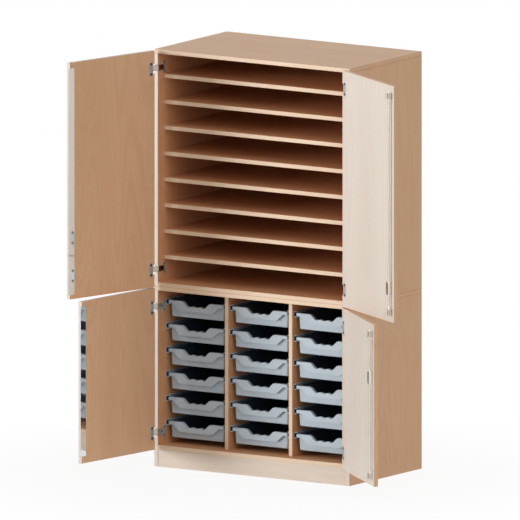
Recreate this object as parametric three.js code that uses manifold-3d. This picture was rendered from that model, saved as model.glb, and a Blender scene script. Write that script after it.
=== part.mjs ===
// Classroom tray storage unit: a tall two-part school cupboard in beech-faced board.
// The upper part has full-width shelves, the lower part has columns of pull-out trays on runners.
// Four doors hang on single-axis hinges that open past a half turn. The right doors carry
// turning-rod locks, and the left doors carry the strike strips that the right doors close over.
// Millimetres, +Z up, front towards -Y. The origin is the middle of the plinth's underside.

import * as THREE from 'three';
import { mergeVertices } from 'three/addons/utils/BufferGeometryUtils.js';
import Module from 'manifold-3d';

const wasm = await Module();
wasm.setup();

// Boards and fits
const board = 19; // sides, tops, shelves, dividers and doors
const backBoard = 8;
const seam = 0.3; // gap kept at every joint between two pieces
const weld = 1; // how far a joined feature reaches into the piece that carries it

// Tray columns and rows
const columns = 3;
const rows = 6;
const trayWidth = 312;
const trayDepth = 427;
const trayHeight = 75;
const trayPassRoom = 1.7; // between a sliding tray's flange and the hinge arm beside it
const trayClear = 35.5; // from a tray's rim to the floor of the tray above it
const trayFloorRoom = 26.5; // under the lowest tray
const trayHeadRoom = 51; // over the highest tray
const traySetback = 66; // from the carcass front to the tray's lip and the runner's end

// Carcass
const rearRoom = 92; // from the runner's rear end to the back board
const plinthHeight = 80;
const plinthRecess = 2;
const setback = 55; // shelf and divider fronts behind the carcass front
const shelfCount = 8;
const shelfRoom = 99.1; // clear height between two shelves

// Doors and their rest angles
const doorGap = 5; // from the closed door's inner face to the carcass front
const doorCentreGap = 4; // between the two closed doors of a pair
const doorTopReveal = 2;
const doorBottomReveal = 1;
const doorSplitGap = 3; // between an upper and a lower door
const openAngles = { upper_left: 104.4, lower_left: 96.5, upper_right: 149.4, lower_right: 138.9 };

// Hinges
const hingeInset = 2; // pivot inside the carcass's outer side
const topShelfToPlate = 5.7; // upper hinge plates keep clear of the nearest shelves
const bottomShelfToPlate = 10.6;
const lowerHingeDrop = 89; // from the lower door's top edge to its top hinge
const lowerHingeRise = 77;
const armHeight = 25;
const armThickness = 4;
const armCross = 10; // depth of the arm where it crosses the side panel's front edge
const armSetback = 2; // the crossing lies this far behind the front edge
const armOverlap = 8; // the arm lies over the plate by this much
const legOffset = 0.5; // arm leg's outer face, measured from the pivot
const legWidth = 5;
const legRoom = 2.5; // between the arm's leg and the door's notch
const plateHeight = 55;
const plateDepth = 22;
const plateThickness = 3;
const plateToRail = 7;
const knuckleRadius = 4;
const knuckleHeight = 7;
const knuckleGap = 0.6;
const pinRadius = 1.8;
const pinClearance = 0.4;
const sideNotchRoom = 4; // above, below and behind the arm in the side panel
const doorNotchRoom = 9.9; // above and below the knuckles in the door
const flangeHeight = 66;
const flangeWidth = 24;
const flangeThickness = 1.2;
const flangeMargin = 2; // between the door's notch and the screw flange

// Runners
const railWidth = 14;
const railWeb = 3;
const railLip = 4; // lower lip, which carries the tray
const railTopLip = 3;
const railHeadRoom = 4; // over the tray's rim
const railTail = 7; // runner past the tray's rear edge
const railRoom = 0.5; // between the tray's lip and the runner's inner edge

// Tray shell
const trayWall = 2.5;
const tubInset = 4; // tub side inside the lip's end
const tubTaper = 4; // the tub's sides lean in by this much at the floor
const tubLean = 2; // its front and back walls lean in by this much
const lipDepth = 13; // the lip stands this far in front of the tub
const lipHeight = 14;
const backFlange = 14;
const flangeStart = 20; // the sliding flanges begin this far behind the lip
const skirtHeight = 16;
const dipHalfWidth = 77;
const dipDepth = 24.5;
const scallopPitch = 41;
const scallopDepth = 4.5;
const dipSteps = 4;
const scallopSteps = 4;
const pullHeight = 45; // from the rim to the lower edge of the pull
const pullInset = 24; // pull's upper corner inside the lip's end
const pullFlare = 35; // pull's lower corner inside its upper corner

// Turning-rod locks and strike strips
const rodRadius = 4;
const rodClearance = 0.4;
const rodFromEdge = 27; // rod axis from the door's free edge
const rodStandoff = 11; // rod axis over the door's inner face
const rodTip = 2; // rod past its hook
const hookFromEnd = 45; // hook centre from the door's end
const hookHeight = 27;
const hookRoom = 2; // between the hook and the door's inner face
const hookOffset = 9; // hook centre from the rod axis
const guideGap = 1; // between a guide and the hook beside it
const guideHeight = 10;
const guideCheek = 3.6; // material beside the rod in a guide
const guideWall = 1.6; // material over the rod in a guide
const caseHeight = 57;
const caseWall = 2.6; // material over the rod in the lock case
const caseEdgeCheek = 1.1;
const caseHingeCheek = 2.1;
const upperCaseRise = 155; // lock case centre over the upper door's lower edge
const lowerCaseDrop = 246; // lock case centre under the lower door's upper edge
const spindleOffset = 12.5; // spindle axis from the rod axis
const spindleRadius = 5;
const spindleReach = 12; // spindle into the lock case
const plugRadius = 11; // key plug on the door's outer face
const plugThickness = 3;
const keySlotHeight = 10;
const keySlotWidth = 2.2;
const keySlotDepth = 2;
const stripCover = 26; // strike strip on the door's inner face
const stripOverhang = 9; // strike strip past the door's free edge
const stripThickness = 2.5;
const upperStripTopRoom = 26; // from a strike strip's ends to the door's ends
const upperStripBottomRoom = 20;
const lowerStripTopRoom = 21;
const lowerStripBottomRoom = 33;

// Sides of the round pieces
const pinSides = 12;
const plugSides = 24;

// Worked-out sizes of the carcass
const traySideRoom = seam + armThickness + trayPassRoom;
const columnClear = trayWidth + 2 * traySideRoom;
const width = columns * columnClear + (columns + 1) * board;
const innerHalf = width / 2 - board;
const railLength = trayDepth + railTail;
const depth = traySetback + railLength + rearRoom + backBoard;
const trayPitch = trayHeight + trayClear;
const lowerFloor = plinthHeight + board;
const lowerInner = trayFloorRoom + trayHeight + (rows - 1) * trayPitch + trayHeadRoom;
const lowerCeiling = lowerFloor + lowerInner;
const lowerTop = lowerCeiling + board;
const upperFloor = lowerTop + board;
const shelfPitch = shelfRoom + board;
const upperCeiling = upperFloor + shelfCount * shelfPitch + shelfRoom;
const height = upperCeiling + board;

// Worked-out sizes of the trays
const lipWidth = columnClear - 2 * (railWidth + railRoom);
const tubTopHalf = lipWidth / 2 - tubInset;
const tubBottomHalf = tubTopHalf - tubTaper;
const pullTopHalf = lipWidth / 2 - pullInset;
const pullBottomHalf = pullTopHalf - pullFlare;

// Worked-out places of the doors, hinges and locks
const doorWidth = width / 2 - hingeInset - doorCentreGap / 2;
const pivotForward = doorGap + board;
const doorSpans = {
  upper: [lowerTop, height - doorTopReveal],
  lower: [plinthHeight + doorBottomReveal, lowerTop - doorSplitGap],
};
const hingeLevels = {
  upper: [
    upperFloor + shelfCount * shelfPitch + topShelfToPlate + plateHeight / 2,
    upperFloor + shelfRoom - bottomShelfToPlate - plateHeight / 2,
  ],
  lower: [doorSpans.lower[1] - lowerHingeDrop, doorSpans.lower[0] + lowerHingeRise],
};
const plateEnd = traySetback - plateToRail;
const plateStart = plateEnd - plateDepth;
const knuckleReach = armHeight / 2 + knuckleGap + knuckleHeight;
const doorNotchWidth = legOffset + legWidth + legRoom;
const doorNotchHalf = knuckleReach + doorNotchRoom;
const flangeOffset = doorNotchWidth + flangeMargin + flangeWidth / 2;
const rodBore = rodRadius + rodClearance;
const spindleBore = spindleRadius + rodClearance;
const rodX = rodFromEdge - doorWidth;
const rodY = board + rodStandoff;
const spindleX = rodX + spindleOffset;
const hookRadius = rodStandoff - hookRoom;
const rodEndRoom = hookFromEnd - hookHeight / 2 - rodTip;
const guideFromEnd = hookFromEnd + (hookHeight + guideHeight) / 2 + guideGap;
const guideDepth = rodStandoff + rodBore + guideWall;
const caseDepth = rodStandoff + rodBore + caseWall;
const caseLevels = {
  upper: doorSpans.upper[0] + upperCaseRise,
  lower: doorSpans.lower[1] - lowerCaseDrop,
};
const stripSpans = {
  upper: [doorSpans.upper[0] + upperStripBottomRoom, doorSpans.upper[1] - upperStripTopRoom],
  lower: [doorSpans.lower[0] + lowerStripBottomRoom, doorSpans.lower[1] - lowerStripTopRoom],
};
const sideSigns = { left: -1, right: 1 };

const finishes = {
  beech: { color: '#d8c1aa', roughness: 0.55, metalness: 0 },
  tray: { color: '#b2bec7', roughness: 0.45, metalness: 0 },
  nickel: { color: '#c8ccd0', roughness: 0.28, metalness: 1 },
  polished: { color: '#d9dde0', roughness: 0.08, metalness: 1 },
};

// Solids from three.js geometry

function piece(name, geometry, finish) {
  const mesh = new THREE.Mesh(geometry, new THREE.MeshStandardMaterial(finishes[finish]));
  mesh.name = name;
  return mesh;
}

function box(x, y, z) {
  const block = new THREE.BoxGeometry(x[1] - x[0], y[1] - y[0], z[1] - z[0]);
  return block.translate((x[0] + x[1]) / 2, (y[0] + y[1]) / 2, (z[0] + z[1]) / 2);
}

// Two distances from the middle plane, on the given side of it, in rising order.
function span(sign, near, far) {
  return sign < 0 ? [-far, -near] : [near, far];
}

function uprightRound(radius, x, y, z, sides = pinSides) {
  const round = new THREE.CylinderGeometry(radius, radius, z[1] - z[0], sides);
  return round.rotateX(Math.PI / 2).translate(x, y, (z[0] + z[1]) / 2);
}

function levelRound(radius, x, y, z, sides = pinSides) {
  const round = new THREE.CylinderGeometry(radius, radius, y[1] - y[0], sides);
  return round.translate(x, (y[0] + y[1]) / 2, z);
}

// A shape drawn in x and z, extruded from y[0] to y[1].
function frontPrism(shape, y) {
  const slab = new THREE.ExtrudeGeometry(shape, { depth: y[1] - y[0], bevelEnabled: false });
  return slab.rotateX(Math.PI / 2).translate(0, y[1], 0);
}

function levelPrism(points, z) {
  const shape = new THREE.Shape(points);
  const slab = new THREE.ExtrudeGeometry(shape, { depth: z[1] - z[0], bevelEnabled: false });
  return slab.translate(0, 0, z[0]);
}

// A block whose floor and rim have their own half widths and depths.
function taperedBlock(halfWidths, depths, z) {
  const block = new THREE.BoxGeometry(1, 1, 1);
  const corners = block.attributes.position;
  for (let i = 0; i < corners.count; i += 1) {
    const end = corners.getZ(i) > 0 ? 1 : 0;
    const x = Math.sign(corners.getX(i)) * halfWidths[end];
    const y = depths[end][corners.getY(i) > 0 ? 1 : 0];
    corners.setXYZ(i, x, y, z[end]);
  }
  return block;
}

function solidOf(geometry) {
  const bare = geometry.clone();
  bare.deleteAttribute('normal');
  bare.deleteAttribute('uv');
  const merged = mergeVertices(bare);
  const vertProperties = merged.attributes.position.array;
  const triVerts = Uint32Array.from(merged.index.array);
  return new wasm.Manifold(new wasm.Mesh({ numProp: 3, vertProperties, triVerts }));
}

function geometryOf(solid) {
  const mesh = solid.getMesh();
  const geometry = new THREE.BufferGeometry();
  geometry.setAttribute('position', new THREE.BufferAttribute(mesh.vertProperties, 3));
  geometry.setIndex(new THREE.BufferAttribute(mesh.triVerts, 1));
  geometry.computeVertexNormals();
  return geometry;
}

function joined(geometries) {
  return geometries.map(solidOf).reduce((sum, solid) => sum.add(solid));
}

// Joins the added shapes, takes the removed ones away, then joins the late ones.
function built(added, removed = [], late = []) {
  let solid = joined(added);
  for (const tool of removed) {
    solid = solid.subtract(solidOf(tool));
  }
  for (const shape of late) {
    solid = solid.add(solidOf(shape));
  }
  return geometryOf(solid);
}

// Carcass boards

function sideNotch(sign, level) {
  const half = armHeight / 2 + sideNotchRoom;
  const x = span(sign, innerHalf - weld, width / 2 + weld);
  return box(x, [-weld, armSetback + armCross + sideNotchRoom], [level - half, level + half]);
}

function sidePanel(name, part, sign, z, fittings) {
  const panel = box(span(sign, innerHalf, width / 2), [0, depth], z);
  const notches = hingeLevels[part].map((level) => sideNotch(sign, level));
  return piece(name, built([panel, ...fittings], notches), 'beech');
}

// A runner: a C-shaped rail screwed to the panel face at x, opening towards sign.
function rail(face, sign, rim) {
  const bottom = rim - skirtHeight - seam - railLip;
  const top = rim + railHeadRoom + railTopLip;
  const at = (out, z) => new THREE.Vector2(face + sign * out, z);
  const profile = new THREE.Shape([
    at(-weld, bottom),
    at(railWidth, bottom),
    at(railWidth, bottom + railLip),
    at(railWeb, bottom + railLip),
    at(railWeb, top - railTopLip),
    at(railWidth, top - railTopLip),
    at(railWidth, top),
    at(-weld, top),
  ]);
  return frontPrism(profile, [traySetback, traySetback + railLength]);
}

function rimLevel(row) {
  return lowerFloor + trayFloorRoom + trayHeight + row * trayPitch;
}

function rails(face, sign) {
  return Array.from({ length: rows }, (_, row) => rail(face, sign, rimLevel(row)));
}

function columnCentre(column) {
  return -innerHalf + columnClear / 2 + column * (columnClear + board);
}

function carcass() {
  const inside = [-innerHalf + seam, innerHalf - seam];
  const across = [-width / 2, width / 2];
  const back = [depth - backBoard, depth];
  const upperSpan = [lowerTop + seam, upperCeiling - seam];
  const lowerSpan = [0, lowerCeiling - seam];
  const group = new THREE.Group();
  for (const [side, sign] of Object.entries(sideSigns)) {
    const runners = rails(sign * innerHalf, -sign);
    group.add(sidePanel(`upper_${side}_side`, 'upper', sign, upperSpan, []));
    group.add(sidePanel(`lower_${side}_side`, 'lower', sign, lowerSpan, runners));
  }
  const boards = {
    top_panel: box(across, [0, depth], [upperCeiling, height]),
    upper_bottom_panel: box(inside, [0, depth], [lowerTop + seam, upperFloor]),
    upper_back: box(inside, back, [upperFloor + seam, upperCeiling - seam]),
    lower_top_panel: box(across, [0, depth], [lowerCeiling, lowerTop]),
    lower_bottom_panel: box(inside, [0, depth], [plinthHeight, lowerFloor]),
    lower_back: box(inside, back, [lowerFloor + seam, lowerCeiling - seam]),
    plinth: box(inside, [plinthRecess, plinthRecess + board], [0, plinthHeight - seam]),
  };
  for (const [name, geometry] of Object.entries(boards)) {
    group.add(piece(name, geometry, 'beech'));
  }
  return group;
}

function dividers() {
  const group = new THREE.Group();
  const y = [setback, depth - backBoard - seam];
  const z = [lowerFloor + seam, lowerCeiling - seam];
  for (let i = 1; i < columns; i += 1) {
    const left = columnCentre(i - 1) + columnClear / 2;
    const panel = box([left, left + board], y, z);
    const fittings = [...rails(left, -1), ...rails(left + board, 1)];
    group.add(piece(`divider_${i}`, built([panel, ...fittings]), 'beech'));
  }
  return group;
}

function shelves() {
  const group = new THREE.Group();
  for (let i = 1; i <= shelfCount; i += 1) {
    const low = upperFloor + i * shelfPitch - board;
    const x = [-innerHalf + seam, innerHalf - seam];
    const shelf = box(x, [setback, depth - backBoard - seam], [low, low + board]);
    group.add(piece(`shelf_${i}`, shelf, 'beech'));
  }
  return group;
}

// Trays, drawn with the lip's front at y 0 and the rim at z 0

// The dipped top edge of the front: an S curve down, finger scallops, and an S curve up.
function dipEdge() {
  const flat = scallopPitch;
  const points = [];
  for (let i = 0; i <= dipSteps; i += 1) {
    const t = i / dipSteps;
    const x = -dipHalfWidth + t * (dipHalfWidth - flat);
    points.push(new THREE.Vector2(x, (-dipDepth * (1 - Math.cos(Math.PI * t))) / 2));
  }
  for (let i = 1; i < scallopSteps; i += 1) {
    const t = i / scallopSteps;
    const rise = (scallopDepth * (1 - Math.cos(2 * Math.PI * t))) / 2;
    points.push(new THREE.Vector2(-flat + t * scallopPitch, rise - dipDepth));
  }
  const mirrored = points.map((p) => new THREE.Vector2(-p.x, p.y)).reverse();
  return [...points, new THREE.Vector2(0, -dipDepth), ...mirrored];
}

function dipCut(edge) {
  const over = new THREE.Shape([
    ...edge,
    new THREE.Vector2(dipHalfWidth, weld),
    new THREE.Vector2(-dipHalfWidth, weld),
  ]);
  return frontPrism(over, [-weld, lipDepth + trayWall + tubLean]);
}

function dipBand(edge) {
  const lowered = edge.map((p) => new THREE.Vector2(p.x, p.y - trayWall)).reverse();
  return frontPrism(new THREE.Shape([...edge, ...lowered]), [0, lipDepth + trayWall]);
}

function lipPlate() {
  const half = lipWidth / 2;
  const outline = new THREE.Shape([
    new THREE.Vector2(-half, 0),
    new THREE.Vector2(-half, -lipHeight),
    new THREE.Vector2(-pullTopHalf, -lipHeight),
    new THREE.Vector2(-pullBottomHalf, -pullHeight),
    new THREE.Vector2(pullBottomHalf, -pullHeight),
    new THREE.Vector2(pullTopHalf, -lipHeight),
    new THREE.Vector2(half, -lipHeight),
    new THREE.Vector2(half, 0),
  ]);
  return frontPrism(outline, [0, trayWall]);
}

function trayFlange() {
  const lip = lipWidth / 2;
  const side = trayWidth / 2;
  const corners = [
    new THREE.Vector2(-lip, 0),
    new THREE.Vector2(lip, 0),
    new THREE.Vector2(lip, flangeStart),
    new THREE.Vector2(side, flangeStart),
    new THREE.Vector2(side, trayDepth),
    new THREE.Vector2(-side, trayDepth),
    new THREE.Vector2(-side, flangeStart),
    new THREE.Vector2(-lip, flangeStart),
  ];
  return levelPrism(corners, [-trayWall, 0]);
}

function tub(inset, z) {
  const front = lipDepth + inset;
  const rear = trayDepth - backFlange - inset;
  const halves = [tubBottomHalf - inset, tubTopHalf - inset];
  const depths = [
    [front + tubLean, rear - tubLean],
    [front, rear],
  ];
  return taperedBlock(halves, depths, z);
}

function trayGeometry() {
  const side = trayWidth / 2;
  const edge = dipEdge();
  const skirts = [box([-side, side], [trayDepth - trayWall, trayDepth], [-skirtHeight, 0])];
  for (const sign of Object.values(sideSigns)) {
    const outer = span(sign, side - trayWall, side);
    const end = span(sign, lipWidth / 2 - trayWall, lipWidth / 2);
    skirts.push(box(outer, [flangeStart, trayDepth], [-skirtHeight, 0]));
    skirts.push(box(end, [0, flangeStart], [-lipHeight, 0]));
  }
  const shell = [tub(0, [-trayHeight, 0]), trayFlange(), lipPlate(), ...skirts];
  const hollow = tub(trayWall, [trayWall - trayHeight, weld]);
  return built(shell, [hollow, dipCut(edge)], [dipBand(edge)]);
}

function trays() {
  const group = new THREE.Group();
  const geometry = trayGeometry();
  for (let column = 0; column < columns; column += 1) {
    for (let row = 0; row < rows; row += 1) {
      const tray = piece(`tray_${column + 1}_${row + 1}`, geometry.clone(), 'tray');
      tray.position.set(columnCentre(column), traySetback, rimLevel(row));
      group.add(tray);
    }
  }
  return group;
}

// Hinges and doors, drawn closed around the pivot, with x out from it along the door

function hingeArm(name, sign, level) {
  const outerFace = -hingeInset;
  const innerFace = outerFace + board + seam;
  const front = pivotForward;
  const crossing = [front + armSetback, front + armSetback + armCross];
  const z = [level - armHeight / 2, level + armHeight / 2];
  const plateZ = [level - plateHeight / 2, level + plateHeight / 2];
  const along = (near, far) => span(-sign, near, far);
  const added = [
    uprightRound(knuckleRadius, 0, 0, z),
    box(along(legOffset, legOffset + legWidth), [0, crossing[1]], z),
    box(along(legOffset, innerFace + armThickness), crossing, z),
    box(along(innerFace, innerFace + armThickness), [crossing[0], front + plateStart + armOverlap], z),
    box(along(innerFace, innerFace + plateThickness), [front + plateStart, front + plateEnd], plateZ),
  ];
  const bore = uprightRound(pinRadius + pinClearance, 0, 0, [z[0] - weld, z[1] + weld]);
  return piece(name, built(added, [bore]), 'nickel');
}

// The oval screw flange on the door's inner face.
function hingeFlange(sign, level) {
  const straight = (flangeHeight - flangeWidth) / 2;
  const outline = new THREE.Shape();
  outline.absarc(0, straight, flangeWidth / 2, 0, Math.PI);
  outline.absarc(0, -straight, flangeWidth / 2, Math.PI, 2 * Math.PI);
  const slab = new THREE.ExtrudeGeometry(outline, {
    depth: flangeThickness + weld,
    bevelEnabled: false,
    curveSegments: pinSides / 2,
  });
  slab.rotateX(Math.PI / 2);
  return slab.translate(-sign * flangeOffset, board + flangeThickness, level);
}

// What a door needs at one hinge: a notch for the arm, and two knuckles with the pin between.
function doorHinge(sign, level) {
  const pin = [level - knuckleReach, level + knuckleReach];
  const added = [hingeFlange(sign, level), uprightRound(pinRadius, 0, 0, pin)];
  for (const end of [-1, 1]) {
    const z = span(end, knuckleReach - knuckleHeight, knuckleReach).map((rise) => level + rise);
    added.push(uprightRound(knuckleRadius, 0, 0, z));
    added.push(box(span(-sign, 0, doorNotchWidth + weld), [0, knuckleRadius], z));
  }
  const z = [level - doorNotchHalf, level + doorNotchHalf];
  const notch = box(span(-sign, -weld, doorNotchWidth), [-weld, board + weld], z);
  return { added, notch };
}

function rodGuides(z) {
  const levels = [z[0] + guideFromEnd, z[1] - guideFromEnd];
  const half = guideHeight / 2;
  const x = [rodX - rodBore - guideCheek, rodX + rodBore + guideCheek];
  return {
    blocks: levels.map((at) => box(x, [board - weld, board + guideDepth], [at - half, at + half])),
    bores: levels.map((at) => uprightRound(rodBore, rodX, rodY, [at - half - weld, at + half + weld])),
  };
}

function doorGeometry(part, sign) {
  const z = doorSpans[part];
  const leaf = box(span(-sign, 0, doorWidth), [0, board], z);
  const hinges = hingeLevels[part].map((level) => doorHinge(sign, level));
  const notches = hinges.map((hinge) => hinge.notch);
  const fittings = hinges.flatMap((hinge) => hinge.added);
  if (sign < 0) {
    return built([leaf], notches, fittings);
  }
  const guides = rodGuides(z);
  const hole = levelRound(spindleBore, spindleX, [-weld, board + weld], caseLevels[part]);
  return built([leaf, ...guides.blocks], [...notches, ...guides.bores, hole], fittings);
}

function strikeStrip(part) {
  const low = board + seam;
  const x = [doorWidth - stripCover, doorWidth + stripOverhang];
  const strip = box(x, [low, low + stripThickness], stripSpans[part]);
  return piece(`${part}_strike_strip`, strip, 'polished');
}

function lockCase(part) {
  const level = caseLevels[part];
  const x = [rodX - rodBore - caseEdgeCheek, spindleX + spindleBore + caseHingeCheek];
  const y = [board + seam, board + caseDepth];
  const z = [level - caseHeight / 2, level + caseHeight / 2];
  const rodHole = uprightRound(rodBore, rodX, rodY, [z[0] - weld, z[1] + weld]);
  const socket = [board - weld, board + seam + spindleReach + rodClearance];
  const spindleHole = levelRound(spindleBore, spindleX, socket, level);
  return piece(`${part}_lock_case`, built([box(x, y, z)], [rodHole, spindleHole]), 'nickel');
}

function lockRod(part) {
  const z = doorSpans[part];
  const added = [uprightRound(rodRadius, 0, 0, [z[0] + rodEndRoom, z[1] - rodEndRoom])];
  for (const level of [z[0] + hookFromEnd, z[1] - hookFromEnd]) {
    const hook = [level - hookHeight / 2, level + hookHeight / 2];
    added.push(uprightRound(hookRadius, 0, hookOffset, hook));
  }
  const rod = piece(`${part}_lock_rod`, built(added), 'nickel');
  rod.position.set(rodX, rodY, 0);
  return rod;
}

// The round key plug, with the spindle that turns the rod inside the lock case.
function lockPlug(part) {
  const front = -seam - plugThickness;
  const half = keySlotHeight / 2;
  const added = [
    levelRound(spindleRadius, 0, [-seam - weld, board + seam + spindleReach], 0),
    levelRound(plugRadius, 0, [front, -seam], 0, plugSides),
  ];
  const slot = box([-keySlotWidth / 2, keySlotWidth / 2], [front - weld, front + keySlotDepth], [-half, half]);
  const plug = piece(`${part}_lock_plug`, built(added, [slot]), 'nickel');
  plug.position.set(spindleX, 0, caseLevels[part]);
  return plug;
}

function doorGroup(part, side) {
  const sign = sideSigns[side];
  const group = new THREE.Group();
  group.position.set(sign * (width / 2 - hingeInset), -pivotForward, 0);
  const leaves = new THREE.Group();
  leaves.rotation.z = THREE.MathUtils.degToRad(sign * openAngles[`${part}_${side}`]);
  leaves.add(piece(`${part}_${side}_door`, doorGeometry(part, sign), 'beech'));
  if (sign < 0) {
    leaves.add(strikeStrip(part));
  } else {
    leaves.add(lockCase(part), lockRod(part), lockPlug(part));
  }
  group.add(leaves);
  hingeLevels[part].forEach((level, i) => {
    const end = i === 0 ? 'top' : 'bottom';
    group.add(hingeArm(`${part}_${side}_hinge_${end}`, sign, level));
  });
  return group;
}

const unit = new THREE.Group();
unit.position.y = -(plinthRecess + board / 2);
unit.add(carcass(), dividers(), shelves(), trays());
for (const part of ['upper', 'lower']) {
  for (const side of ['left', 'right']) {
    unit.add(doorGroup(part, side));
  }
}

export default unit;
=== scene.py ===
"""Classroom tray storage unit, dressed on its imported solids.

A tall school cupboard in beech-faced board: shelves above, moulded trays on runners below, and four doors
on cranked nickel hinges. The right doors carry turning-rod locks, the left doors polished strike strips.
"""
import math

import bmesh
import bpy
from mathutils import Matrix, Vector


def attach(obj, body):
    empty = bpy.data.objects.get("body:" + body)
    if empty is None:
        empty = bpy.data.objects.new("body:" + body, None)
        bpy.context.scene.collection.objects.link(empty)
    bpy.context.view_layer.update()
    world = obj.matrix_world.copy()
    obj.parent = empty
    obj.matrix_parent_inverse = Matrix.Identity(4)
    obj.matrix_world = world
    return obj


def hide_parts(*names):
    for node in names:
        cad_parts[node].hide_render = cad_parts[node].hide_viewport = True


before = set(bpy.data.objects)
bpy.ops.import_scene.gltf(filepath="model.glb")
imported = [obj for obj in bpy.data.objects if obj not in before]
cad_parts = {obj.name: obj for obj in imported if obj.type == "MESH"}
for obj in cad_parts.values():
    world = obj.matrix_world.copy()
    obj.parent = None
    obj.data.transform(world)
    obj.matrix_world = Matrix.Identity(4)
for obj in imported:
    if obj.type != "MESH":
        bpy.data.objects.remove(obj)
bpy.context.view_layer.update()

MM = 0.001

# Boards and carcass, in millimetres. Depth is counted from the carcass front.
# ROW_Y moves it to the frame, whose origin is the middle of the plinth's underside.
BOARD = 19.0
BACK_BOARD = 8.0
SEAM = 0.3
COLUMNS, ROWS = 3, 6
COLUMN_CLEAR = 324.0
WIDTH = COLUMNS * COLUMN_CLEAR + (COLUMNS + 1) * BOARD
INNER = WIDTH / 2 - BOARD
DEPTH = 600.0
SETBACK = 55.0
PLINTH = 80.0
PLINTH_RECESS = 2.0
ROW_Y = -(PLINTH_RECESS + BOARD / 2)
TRAY_HEIGHT, TRAY_PITCH = 75.0, 110.5
ROOM_BELOW_TRAYS, ROOM_ABOVE_TRAYS = 26.5, 51.0
LOWER_FLOOR = PLINTH + BOARD
LOWEST_RIM = LOWER_FLOOR + ROOM_BELOW_TRAYS + TRAY_HEIGHT
LOWER_CEILING = LOWEST_RIM + (ROWS - 1) * TRAY_PITCH + ROOM_ABOVE_TRAYS
LOWER_TOP = LOWER_CEILING + BOARD
UPPER_FLOOR = LOWER_TOP + BOARD
SHELVES, SHELF_ROOM = 8, 99.1
SHELF_PITCH = SHELF_ROOM + BOARD
UPPER_CEILING = UPPER_FLOOR + SHELVES * SHELF_PITCH + SHELF_ROOM
HEIGHT = UPPER_CEILING + BOARD
EDGE_ROUND = 0.9

# Doors, with their rest angles
DOOR_GAP = 2.0
DOOR_WIDTH = WIDTH / 2 - 2 * DOOR_GAP
PIVOT_X, PIVOT_Y = WIDTH / 2 - DOOR_GAP, -24.0
LOWER_DOOR_GAPS = (1.0, 3.0)
DOOR_SPANS = {
    "upper": (LOWER_TOP, HEIGHT - DOOR_GAP),
    "lower": (PLINTH + LOWER_DOOR_GAPS[0], LOWER_TOP - LOWER_DOOR_GAPS[1]),
}
OPEN_ANGLES = {
    ("upper", "left"): 104.4,
    ("lower", "left"): 96.5,
    ("upper", "right"): 149.4,
    ("lower", "right"): 138.9,
}
SIGNS = {"left": -1, "right": 1}

# Hinges, measured from the pivot
ARM_HEIGHT, ARM_THICKNESS = 25.0, 4.0
ARM_CROSS = (26.0, 36.0)
ARM_END = 69.0
LEG = (0.5, 5.5)
PLATE_HEIGHT, PLATE_THICKNESS = 55.0, 3.0
PLATE_SPAN = (61.0, 83.0)
PLATE_SCREW_RISE, PLATE_SCREW_BACK = 19.0, 2.0
SIDE_FACE = BOARD - DOOR_GAP + SEAM
KNUCKLE, KNUCKLE_HEIGHT, KNUCKLE_GAP = 4.0, 7.0, 0.6
FLANGE_WIDTH, FLANGE_HEIGHT, FLANGE_THICKNESS = 24.0, 66.0, 1.2
FLANGE_SCREW_RISE = 23.0
CUP_RADIUS, CUP_RISE, CUP_SUNK = 10.0, 0.9, 0.2
STRAP_BITE = 0.5
DOOR_NOTCH, DOOR_NOTCH_HEIGHT, DOOR_NOTCH_ROUND = 8.0, 43.0, 3.0
FLANGE_U = DOOR_NOTCH + 2.0 + FLANGE_WIDTH / 2
SIDE_NOTCH, SIDE_NOTCH_HEIGHT, SIDE_NOTCH_ROUND = 16.0, 27.0, 6.0
PLATE_ABOVE_SHELF, PLATE_BELOW_SHELF = 5.7, 10.6
LOWER_HINGE_FROM_TOP, LOWER_HINGE_FROM_BOTTOM = 89.0, 77.0
HINGE_LEVELS = {
    "upper": (
        UPPER_FLOOR + SHELVES * SHELF_PITCH + PLATE_ABOVE_SHELF + PLATE_HEIGHT / 2,
        UPPER_FLOOR + SHELF_ROOM - PLATE_BELOW_SHELF - PLATE_HEIGHT / 2,
    ),
    "lower": (
        DOOR_SPANS["lower"][1] - LOWER_HINGE_FROM_TOP,
        DOOR_SPANS["lower"][0] + LOWER_HINGE_FROM_BOTTOM,
    ),
}

# Runners
RAIL_WIDTH, RAIL_LENGTH = 14.0, 434.0
RAIL_WEB, RAIL_LIP, RAIL_TOP_LIP, RAIL_HEAD_ROOM = 3.0, 4.0, 3.0, 4.0
TRAY_SETBACK = 66.0
SKIRT = 16.0
RUNNER_SCREW_DEPTHS, RUNNER_SCREW_DROP = (60.0, 220.0, 380.0), 6.0

# Trays, drawn with the lip's front at y 0 and the rim at z 0. The stations are where the sheet's outline is
# sampled: across the front, along a side flange and across the rear.
TRAY_WALL = 2.4
TRAY_LIP = COLUMN_CLEAR / 2 - RAIL_WIDTH - 0.5
TRAY_SIDE, TRAY_LENGTH = 156.0, 427.0
FLANGE_START = 20.0
TUB_TOP, TUB_TAPER = TRAY_LIP - 6.5, 4.0
TUB_FRONT, TUB_REAR, TUB_LEAN = 15.5, TRAY_LENGTH - 16.5, 2.0
TUB_CORNER, TUB_FILLET = 4.0, 3.5
DIP_HALF, DIP_DEPTH = 77.0, 24.5
SCALLOP, SCALLOP_DEPTH = 41.0, 4.5
PULL_TOP, PULL_BOTTOM = TRAY_LIP - 24.0, TRAY_LIP - 59.0
PULL_HEIGHT, LIP_HEIGHT = 45.0, 14.0
SPLAY, FRONT_END = 92.0, TRAY_LIP - 2.5
LIP_ROUND, FLANGE_ROUND, REAR_ROUND = 1.5, 1.5, 2.0
DIP_STEP, DIP_STATIONS = 3.4, 23
FRONT_STATIONS = (DIP_HALF, 82.0, PULL_BOTTOM, SPLAY, 100.0, 112.0, PULL_TOP, 132.0)
SIDE_STATIONS = (40.0, 90.0, 160.0, 240.0, 320.0, 380.0)
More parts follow.
